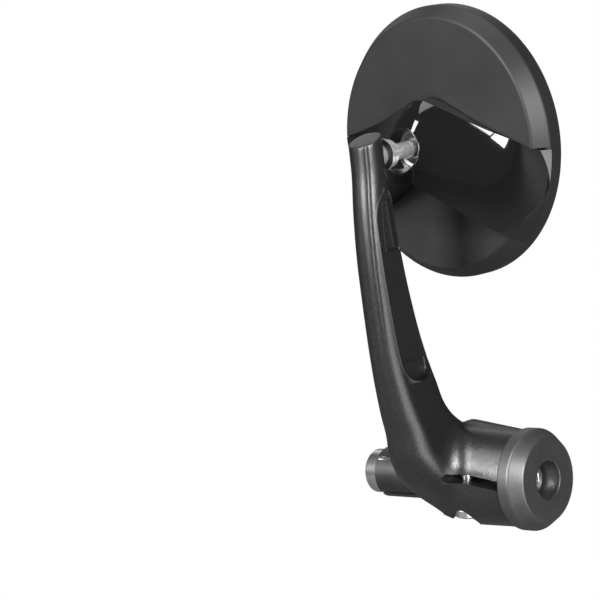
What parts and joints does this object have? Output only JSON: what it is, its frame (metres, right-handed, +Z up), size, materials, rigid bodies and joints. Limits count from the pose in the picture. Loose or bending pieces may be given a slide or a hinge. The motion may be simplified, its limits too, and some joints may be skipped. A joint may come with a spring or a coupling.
{
  "type": "motorcycle bar-end mirror",
  "caption": "Round bar-end mirror: a cast arm with a split clamp hub on an expanding bar plug carries a ball-jointed dish head with a wing-shaped trim band.",
  "frame": {"origin": "centre of the handlebar tube's end face, on the bar's axis, where the expander plug leaves the tube", "axes": "+X outward along the bar, +Y towards the rider (the side of the glass), +Z up"},
  "size_m": [0.093, 0.0558, 0.1756],
  "materials": {
    "cap_black": "anodised satin black",
    "bright_steel": "bright zinc plated",
    "sleeve_alloy": "turned",
    "arm_black": "fine textured satin black powder coat",
    "washer_black": "black oxide",
    "stud_chrome": "polished",
    "cup_nylon": "moulded",
    "socket_steel": "zinc plated",
    "shell_matte": "matte black paint",
    "band_gloss": "piano black",
    "carrier_plastic": "moulded",
    "pad_rubber": "foam adhesive",
    "mirror_face": "silvered convex glass",
    "seal_rubber": "matte"
  },
  "bodies": {
    "bar_end": {"end_cap": "cap_black", "centre_screw": "bright_steel", "screw_washer": "bright_steel", "expander_sleeve": "sleeve_alloy", "cone_nut": "bright_steel"},
    "arm": {"arm": "arm_black", "pinch_screw": "bright_steel", "stud_washer": "washer_black", "lock_nut": "stud_chrome", "ball_stud": "stud_chrome"},
    "front_cup": {"front_cup": "cup_nylon"},
    "rear_cup": {"rear_cup": "cup_nylon"},
    "head": {"ball_socket": "socket_steel", "pressure_cup": "cup_nylon", "disc_spring": "bright_steel", "pressure_plate": "socket_steel", "plate_screws": "bright_steel", "back_shell": "shell_matte", "gloss_band": "band_gloss", "glass_carrier": "carrier_plastic", "glass_pad": "pad_rubber", "mirror_glass": "mirror_face", "glass_seal": "seal_rubber"}
  },
  "joints": [
    {"name": "arm_swing", "type": "hinge", "parent": "bar_end", "child": "arm", "pos_m": [0, 0, 0], "axis": [1, 0, 0], "continuous": true},
    {"name": "head_roll", "type": "hinge", "parent": "arm", "child": "front_cup", "pos_m": [-0.001, -0.0015, 0.1126], "axis": [0, 1, 0], "continuous": true},
    {"name": "head_tilt", "type": "hinge", "parent": "front_cup", "child": "rear_cup", "pos_m": [-0.001, -0.0015, 0.1126], "axis": [1, 0, 0], "range_deg": [-12, 12]},
    {"name": "head_pan", "type": "hinge", "parent": "rear_cup", "child": "head", "pos_m": [-0.001, -0.0015, 0.1126], "axis": [0, 0, 1], "range_deg": [-12, 12]}
  ]
}
